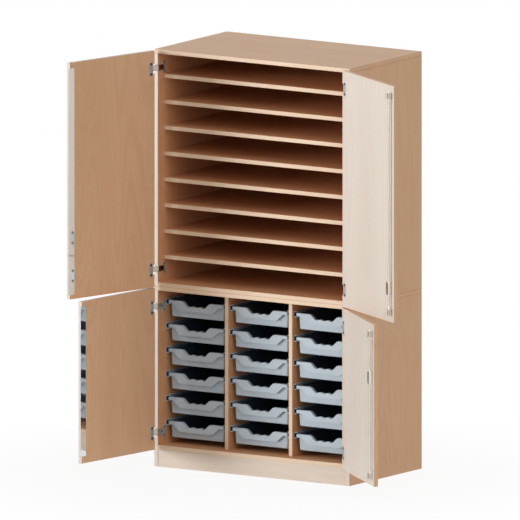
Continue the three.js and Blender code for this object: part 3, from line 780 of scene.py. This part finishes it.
def tub_point(tub, height, inset):
    """A point on the tub's inner wall, which leans in towards its floor."""
    share = -height / TRAY_HEIGHT
    middle = (TUB_FRONT + TUB_REAR) / 2
    sides = 1 - (share * TUB_TAPER + inset) / TUB_TOP
    ends = 1 - (share * TUB_LEAN + inset) / (TUB_REAR - middle)
    return (tub[0] * sides, middle + (tub[1] - middle) * ends, height)


def tray_mesh():
    """One moulded sheet, from the lip's lower edge over the rim to the tub's floor, given its wall."""
    half = half_stations()
    stations = half + [((-t[0], t[1]), (-o[0], o[1]), rim, low) for t, o, rim, low in reversed(half[1:-1])]
    floor = -TRAY_HEIGHT + TRAY_WALL
    rings = [[(*outer, low) for tub, outer, rim, low in stations],
             [(*outer, rim) for tub, outer, rim, low in stations],
             [tub_point(tub, rim, 0.0) for tub, outer, rim, low in stations],
             [tub_point(tub, WALL_BREAK, 0.0) for tub, outer, rim, low in stations]]
    for angle in (0, 30, 60, 90):
        inset = TUB_FILLET * (1 - math.cos(math.radians(angle)))
        height = floor + TUB_FILLET * (1 - math.sin(math.radians(angle)))
        rings.append([tub_point(tub, height, inset) for tub, outer, rim, low in stations])
    bm = bmesh.new()
    loops = [[bm.verts.new(point) for point in ring] for ring in rings]
    count = len(stations)
    for level, (outer, inner) in enumerate(zip(loops, loops[1:])):
        for i in range(count):
            j = (i + 1) % count
            face = bm.faces.new((outer[i], outer[j], inner[j], inner[i]))
            # The tub's inner faces take slot 1, the dark painted shade
            face.material_index = 1 if level >= 2 else 0
    bm.faces.new(loops[-1]).material_index = 1
    mesh = bpy.data.meshes.new("tray_sheet")
    bm.to_mesh(mesh)
    bm.free()
    mesh.materials.append(TRAY_PLASTIC)
    mesh.materials.append(TRAY_PAINTED_SHADE)
    host = bpy.data.objects.new("tray_host", mesh)
    bpy.context.scene.collection.objects.link(host)
    wall = host.modifiers.new("wall", "SOLIDIFY")
    wall.thickness = TRAY_WALL
    wall.offset = -1.0
    wall.use_even_offset = True
    wall.material_offset = -1
    edges = host.modifiers.new("edges", "BEVEL")
    edges.width = TRAY_EDGE
    edges.segments = 2
    edges.limit_method = "ANGLE"
    edges.angle_limit = math.radians(TRAY_EDGE_ANGLE)
    bpy.context.view_layer.update()
    made = bpy.data.meshes.new_from_object(host.evaluated_get(bpy.context.evaluated_depsgraph_get()))
    bpy.data.objects.remove(host)
    return made


def trays():
    pattern = tray_mesh()
    for column in range(COLUMNS):
        centre = -INNER + COLUMN_CLEAR / 2 + column * (COLUMN_CLEAR + BOARD)
        for row in range(ROWS):
            node = f"tray_{column + 1}_{row + 1}"
            mesh = pattern.copy()
            rim = LOWEST_RIM + row * TRAY_PITCH
            mesh.transform(CARCASS @ Matrix.Translation((centre, TRAY_SETBACK, rim)))
            finish_piece(node + "_shell", mesh, [TRAY_PLASTIC, TRAY_PAINTED_SHADE], node, [node])
    bpy.data.meshes.remove(pattern)


# Doors and what they carry

def door_flange(level):
    """The oval screw flange of a hinge on the door's inner face, with its shallow pressed cup."""
    straight = (FLANGE_HEIGHT - FLANGE_WIDTH) / 2
    oval = arc((FLANGE_U, level + straight), FLANGE_WIDTH / 2, 0, 180, 12)
    oval += arc((FLANGE_U, level - straight), FLANGE_WIDTH / 2, 180, 360, 12)
    top = BOARD + FLANGE_THICKNESS
    flange = soften(prism(oval, BOARD, top, "Y"), SHEET_EDGE)
    rim = circle((FLANGE_U, level), CUP_RADIUS, SMALL_ROUND_SIDES)
    return [flange, soften(prism(rim, top - CUP_SUNK, top + CUP_RISE, "Y"), PRESSED_EDGE)]


def door_knuckles(level):
    """The two knuckles above and below the arm's barrel, with straps into the door's edge."""
    near = ARM_HEIGHT / 2 + KNUCKLE_GAP
    far = near + KNUCKLE_HEIGHT
    strap_end = DOOR_NOTCH + STRAP_BITE
    strap = arc((0.0, 0.0), KNUCKLE, 90, 360, 18) + [(strap_end, 0.0), (strap_end, KNUCKLE)]
    spans = ((-far, -near), (near, far))
    return [soften(prism(strap, level + low, level + high, "Z"), PRESSED_EDGE) for low, high in spans]


def door(part, side):
    """A door leaf with its hinge halves. Gives its node, its place and its inner face's direction."""
    low, high = DOOR_SPANS[part]
    node = f"{part}_{side}_door"
    place = pivot_matrix(side, OPEN_ANGLES[part, side])
    inner = facing(place, (0, 1, 0))
    levels = HINGE_LEVELS[part]
    outline = notched(0.0, DOOR_WIDTH, low, high, levels, DOOR_NOTCH, DOOR_NOTCH_HEIGHT, DOOR_NOTCH_ROUND)
    leaf = soften(prism(outline, 0.0, BOARD, "Y"), EDGE_ROUND)
    # Faces turned to the key are painted lighter as light: the left doors' edges and the right doors' inner
    # faces; the others keep the plain beech
    edge, inner_face = (PAINTED_LIGHT_UPRIGHT, BEECH_UPRIGHT) if side == "left" else (BEECH_UPRIGHT, PAINTED_LIGHT_UPRIGHT)
    make_piece(node + "_leaf", leaf, [BEECH_UPRIGHT, edge, inner_face], node, [node], place)
    flanges = [shape for level in levels for shape in door_flange(level)]
    knuckles = [shape for level in levels for shape in door_knuckles(level)]
    in_metal(node + "_hinge_flanges", flanges, SATIN_NICKEL, node, (), place)
    in_metal(node + "_hinge_knuckles", knuckles, NICKEL, node, (), place)
    rises = [level + rise for level in levels for rise in (-FLANGE_SCREW_RISE, FLANGE_SCREW_RISE)]
    heads = [Vector((FLANGE_U, BOARD + FLANGE_THICKNESS, rise)) for rise in rises]
    screws(node + "_hinge_screws", [(place @ head, inner) for head in heads], FLANGE_SCREW, node)
    return node, place, inner


def strike_strip(part, node, place, inner):
    """The polished strip along a left door's free edge. Its face slopes a little towards that edge."""
    low = DOOR_SPANS[part][0] + STRIP_ENDS[part][0]
    high = DOOR_SPANS[part][1] - STRIP_ENDS[part][1]
    face = BOARD + SEAM + STRIP_THICKNESS
    near, far = (DOOR_WIDTH - STRIP_COVER, low), (DOOR_WIDTH + STRIP_OVERHANG, high)
    strip = prism(rounded_rectangle(near, far, SMALL_CORNER), BOARD + SEAM, face, "Y")
    for vertex in strip.verts:
        if vertex.co.y > face - STRIP_THICKNESS / 2:
            vertex.co.y -= STRIP_TAPER * (vertex.co.x - DOOR_WIDTH + STRIP_COVER)
    soften(strip, STRIP_EDGE)
    name = f"{part}_strike_strip"
    in_metal(name + "_plate", [strip], POLISHED, node, [name], place)
    first = low + STRIP_SCREW_MARGIN
    step = (high - low - 2 * STRIP_SCREW_MARGIN) / (STRIP_SCREWS - 1)
    across = STRIP_COVER / 2
    depth = face - STRIP_TAPER * across
    heads = [Vector((DOOR_WIDTH - across, depth, first + i * step)) for i in range(STRIP_SCREWS)]
    seats = [(place @ head, inner) for head in heads]
    screws(name + "_screws", seats, STRIP_SCREW, node, NICKEL)


def rod_guide(at):
    """A pressed saddle over the rod, on a screwed foot."""
    low, high = at - GUIDE_HALF, at + GUIDE_HALF
    foot = rounded_rectangle((ROD_U - FOOT_HALF, low), (ROD_U + FOOT_HALF, high), SMALL_CORNER)
    saddle = [(ROD_U - GUIDE_RADIUS, BOARD)]
    saddle += arc((ROD_U, ROD_V), GUIDE_RADIUS, 180, 0, 14) + [(ROD_U + GUIDE_RADIUS, BOARD)]
    plate = soften(prism(foot, BOARD, BOARD + FOOT_THICKNESS, "Y"), SHEET_EDGE)
    return [plate, soften(prism(saddle, low, high, "Z"), PRESSED_EDGE)]


def rod_hook(at):
    """The cast claw at a rod's end, with its mouth towards the door's free edge."""
    centre = (ROD_U, ROD_V + HOOK_RADIUS)
    start, end = HOOK_MOUTH, 360 - HOOK_MOUTH
    claw = arc(centre, HOOK_RADIUS, start, end, 24) + arc(centre, HOOK_BORE, end, start, 18)
    return soften(prism(claw, at - HOOK_HEIGHT / 2, at + HOOK_HEIGHT / 2, "Z"), HOOK_EDGE, 3)


def lock(part, node, place, inner):
    """A turning-rod lock on a right door: case, guides, rod with its hooks, and key plug."""
    low, high = DOOR_SPANS[part]
    level = CASE_LEVELS[part]
    near = (SPINDLE_U - CASE_PAST_SPINDLE, BOARD + SEAM)
    far = (ROD_U + CASE_PAST_ROD, BOARD + CASE_DEPTH)
    box = rounded_rectangle(near, far, SMALL_CORNER)
    case = soften(prism(box, level - CASE_HALF, level + CASE_HALF, "Z"), CASE_EDGE, 3)
    in_metal(f"{part}_lock_case_box", [case], NICKEL, node, [f"{part}_lock_case"], place)
    rises = (level - CASE_SCREW_RISE, level + CASE_SCREW_RISE)
    seats = [(place @ Vector((SPINDLE_U, BOARD + CASE_DEPTH, rise)), inner) for rise in rises]
    screws(f"{part}_lock_case_screws", seats, CASE_SCREW, node, NICKEL)
    ends = (low + GUIDE_FROM_END, high - GUIDE_FROM_END)
    guides = [shape for at in ends for shape in rod_guide(at)]
    in_metal(node + "_rod_guides", guides, NICKEL, node, (), place)
    sides = (ROD_U - FOOT_SCREW, ROD_U + FOOT_SCREW)
    heads = [Vector((across, BOARD + FOOT_THICKNESS, at)) for at in ends for across in sides]
    seats = [(place @ head, inner) for head in heads]
    screws(node + "_guide_screws", seats, GUIDE_SCREW, node, NICKEL)
    bar = circle((ROD_U, ROD_V), ROD_RADIUS, SMALL_ROUND_SIDES)
    rod = soften(prism(bar, low + ROD_END, high - ROD_END, "Z"), ROD_EDGE)
    hooks = [rod_hook(low + HOOK_FROM_END), rod_hook(high - HOOK_FROM_END)]
    name = f"{part}_lock_rod"
    in_metal(name + "_bar", [rod, *hooks], NICKEL, name, [name], place)
    lock_plug(part, node, level, place)


def lock_plug(part, node, level, place):
    """The key plug in its rosette on the door's outer face, and the spindle behind it."""
    outward = place @ Matrix.Translation((SPINDLE_U, -SEAM, level)) @ Matrix.Rotation(math.pi / 2, 4, "X")
    slot = rounded_rectangle((-KEY_SLOT[0], -KEY_SLOT[1]), KEY_SLOT, 1.0, 3)
    rings = (
        (PLUG_RADIUS, 0.0),
        (PLUG_RADIUS, PLUG_THICKNESS - PLUG_EDGE),
        (PLUG_RADIUS - PLUG_EDGE, PLUG_THICKNESS),
    )
    plug = recessed_head(rings, slot, KEY_SLOT_DEPTH, 1.0, BIG_ROUND_SIDES)
    pin = circle((0.0, 0.0), SPINDLE_RADIUS, SMALL_ROUND_SIDES)
    spindle = prism(pin, -SPINDLE_REACH, SPINDLE_BITE, "Z")
    name = f"{part}_lock_plug"
    in_metal(name + "_turn", [plug, spindle], NICKEL, name, [name], outward)
    rim = circle((0.0, 0.0), ROSETTE_RADIUS, BIG_ROUND_SIDES)
    hole = circle((0.0, 0.0), PLUG_RADIUS + ROSETTE_PLAY, BIG_ROUND_SIDES)
    ring = bmesh.new()
    levels = ((rim, -SEAM), (rim, ROSETTE_LOW), (hole, ROSETTE_HIGH), (hole, -SEAM))
    loops = [[ring.verts.new((x, y, height)) for x, y in outline] for outline, height in levels]
    for near, far in zip(loops, loops[1:] + loops[:1]):
        for i in range(BIG_ROUND_SIDES):
            j = (i + 1) % BIG_ROUND_SIDES
            ring.faces.new((near[i], near[j], far[j], far[i]))
    bmesh.ops.recalc_face_normals(ring, faces=ring.faces)
    in_metal(f"{part}_lock_rosette", [ring], SATIN_NICKEL, node, (), outward)


def hinge_arm(part, side, end, level):
    """The carcass half of a hinge: barrel, cranked arm and the screwed plate on the side's inner face."""
    far = SIDE_FACE + ARM_THICKNESS
    outline = arc((0.0, 0.0), KNUCKLE, 83, 360, 18)
    outline += [(LEG[1], 0.0), (LEG[1], ARM_CROSS[0]), (far, ARM_CROSS[0]), (far, ARM_END)]
    outline += [(SIDE_FACE, ARM_END), (SIDE_FACE, ARM_CROSS[1]), (LEG[0], ARM_CROSS[1])]
    arm = soften(prism(outline, level - ARM_HEIGHT / 2, level + ARM_HEIGHT / 2, "Z"), ARM_EDGE)
    half = PLATE_HEIGHT / 2
    near, tip = (PLATE_SPAN[0], level - half), (PLATE_SPAN[1], level + half)
    outline = rounded_rectangle(near, tip, PLATE_CORNER)
    plate = soften(prism(outline, SIDE_FACE, SIDE_FACE + PLATE_THICKNESS, "X"), PLATE_EDGE)
    node = f"{part}_{side}_hinge_{end}"
    place = pivot_matrix(side)
    inner = facing(place, (1, 0, 0))
    in_metal(node + "_arm", [arm], NICKEL, "carcass", [node], place)
    in_metal(node + "_plate", [plate], SATIN_NICKEL, "carcass", (), place)
    middle = sum(PLATE_SPAN) / 2 + PLATE_SCREW_BACK
    rises = (level - PLATE_SCREW_RISE, level + PLATE_SCREW_RISE)
    heads = [Vector((SIDE_FACE + PLATE_THICKNESS, middle, rise)) for rise in rises]
    heads.append(Vector((far, (ARM_CROSS[1] + ARM_END) / 2, level)))
    screws(node + "_screws", [(place @ head, inner) for head in heads], PLATE_SCREW, "carcass")


def doors():
    for part in ("upper", "lower"):
        for side in SIGNS:
            node, place, inner = door(part, side)
            if side == "left":
                strike_strip(part, node, place, inner)
            else:
                lock(part, node, place, inner)
            for end, level in zip(("top", "bottom"), HINGE_LEVELS[part]):
                hinge_arm(part, side, end, level)


# Stage

def seen_directly(tree):
    """One where a surface is seen by the eye, in a reflection or through something clear."""
    path = put(tree, "ShaderNodeLightPath").outputs
    seen = path["Is Camera Ray"]
    for other in ("Is Glossy Ray", "Is Transmission Ray"):
        seen = put(tree, "ShaderNodeMath", {0: seen, 1: path[other]}, operation="MAXIMUM").outputs[0]
    return seen


def stage():
    """A matt white floor that looks white and keeps a soft shadow, which fades out with distance."""
    bm = bmesh.new()
    bmesh.ops.create_grid(bm, x_segments=1, y_segments=1, size=FLOOR_HALF)
    mesh = bpy.data.meshes.new("floor")
    bm.to_mesh(mesh)
    bm.free()
    floor = bpy.data.objects.new("floor", mesh)
    bpy.context.scene.collection.objects.link(floor)
    material, tree, shader, place = start_material("matt_white_floor")
    shader.inputs["Base Color"].default_value = linear("#efefef")
    shader.inputs["Roughness"].default_value = 0.9
    far = put(tree, "ShaderNodeVectorMath", {0: place}, operation="LENGTH").outputs["Value"]
    limits = {0: far, 1: SHADOW_FADE[0], 2: SHADOW_FADE[1], 3: SHADOW_LEFT, 4: 1.0}
    fade = put(tree, "ShaderNodeMapRange", limits).outputs[0]
    shown = {0: seen_directly(tree), 1: fade}
    share = put(tree, "ShaderNodeMath", shown, operation="MULTIPLY").outputs[0]
    glow = put(tree, "ShaderNodeEmission", {"Color": (1.0, 1.0, 1.0, 1.0), "Strength": 1.0})
    both = put(tree, "ShaderNodeMixShader", {0: share, 1: shader.outputs[0], 2: glow.outputs[0]})
    tree.links.new(both.outputs[0], tree.nodes["Material Output"].inputs["Surface"])
    mesh.materials.append(material)


def sun(name, strength, width, turn, rise):
    """A broad distant lamp, which stands the given degrees right of the front and up."""
    lamp = bpy.data.lights.new(name, "SUN")
    lamp.energy = math.pi * strength
    lamp.angle = math.radians(width)
    turn, rise = math.radians(turn), math.radians(rise)
    towards = Vector((math.sin(turn) * math.cos(rise), -math.cos(turn) * math.cos(rise), math.sin(rise)))
    holder = bpy.data.objects.new(name, lamp)
    bpy.context.scene.collection.objects.link(holder)
    holder.rotation_mode = "QUATERNION"
    holder.rotation_quaternion = towards.to_track_quat("Z", "Y")


def light():
    """A low broad key from the front left, a wide fill from the right and above, and a white surround."""
    sun("key", *KEY)
    sun("fill", *FILL)
    world = bpy.data.worlds.new("surround")
    bpy.context.scene.world = world
    world.use_nodes = True
    tree = world.node_tree
    level = put(tree, "ShaderNodeMapRange", {0: seen_directly(tree), 3: SURROUND, 4: 1.0}).outputs[0]
    background = tree.nodes["Background"]
    background.inputs["Color"].default_value = (1.0, 1.0, 1.0, 1.0)
    tree.links.new(level, background.inputs["Strength"])


def camera():
    """The photograph is a parallel view from the front right, a little above level."""
    lens = bpy.data.cameras.new("view")
    lens.type = "ORTHO"
    lens.ortho_scale = VIEW_WIDTH
    lens.clip_end = CLIP_END
    eye = bpy.data.objects.new("view", lens)
    bpy.context.scene.collection.objects.link(eye)
    bpy.context.scene.camera = eye
    turn, rise = math.radians(VIEW_TURN), math.radians(VIEW_RISE)
    back = Vector((math.sin(turn) * math.cos(rise), -math.cos(turn) * math.cos(rise), math.sin(rise)))
    right = Vector((math.cos(turn), math.sin(turn), 0.0))
    up = back.cross(right)
    eye.location = right * VIEW_RIGHT + up * VIEW_UP + back * VIEW_BACK
    eye.rotation_mode = "QUATERNION"
    eye.rotation_quaternion = (-back).to_track_quat("-Z", "Y")


camera()
light()
stage()
carcass_boards()
runners()
trays()
doors()
for pattern in PATTERNS:
    bpy.data.objects.remove(pattern)

bpy.context.scene.view_settings.view_transform = "Standard"
